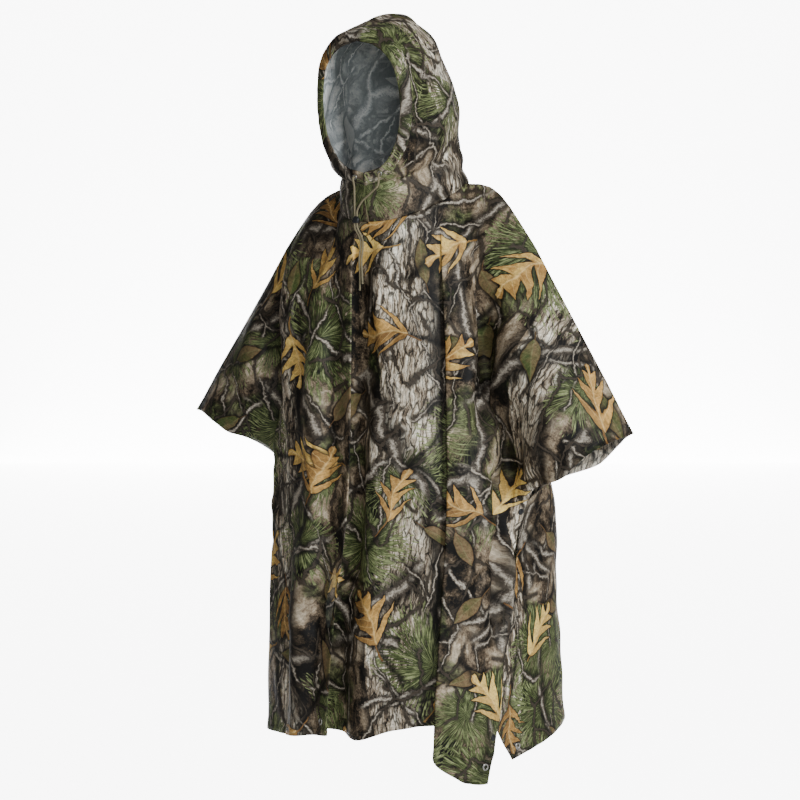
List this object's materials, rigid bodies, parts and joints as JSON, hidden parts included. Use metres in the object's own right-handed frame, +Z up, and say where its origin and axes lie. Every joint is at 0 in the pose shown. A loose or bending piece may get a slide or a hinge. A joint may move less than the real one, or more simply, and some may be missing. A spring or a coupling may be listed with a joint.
{
  "type": "rain poncho",
  "caption": "Hooded pull-over rain poncho with wide cut-in sleeves, snapped sides, vented hem and a hood drawstring, hanging open as worn.",
  "frame": {"origin": "middle of the neck opening at the height of the shoulders, where a wearer's neck passes through", "axes": "+Z up, the face opening looks along -Y, +X to the wearer's left"},
  "size_m": [0.9354, 0.4618, 1.3737],
  "materials": {
    "printed_cloth": null,
    "cord": "braided polyester cord, olive tan",
    "black_plastic": "black moulded plastic",
    "eyelet_metal": "pressed metal eyelet"
  },
  "bodies": {
    "root": {"front_panel": "printed_cloth", "back_panel": "printed_cloth", "hood_left": "printed_cloth", "hood_right": "printed_cloth", "hood_casing": "printed_cloth", "drawstring_left": "cord", "drawstring_right": "cord", "cord_lock": "black_plastic", "casing_eyelet_left": "eyelet_metal", "casing_eyelet_right": "eyelet_metal", "eyelet_front_left": "eyelet_metal", "eyelet_front_right": "eyelet_metal", "eyelet_front_fold": "eyelet_metal", "eyelet_back_left": "eyelet_metal", "eyelet_back_right": "eyelet_metal", "snap_left_upper": "black_plastic", "snap_left_lower": "black_plastic", "snap_right_upper": "black_plastic", "snap_right_lower": "black_plastic"}
  },
  "joints": []
}
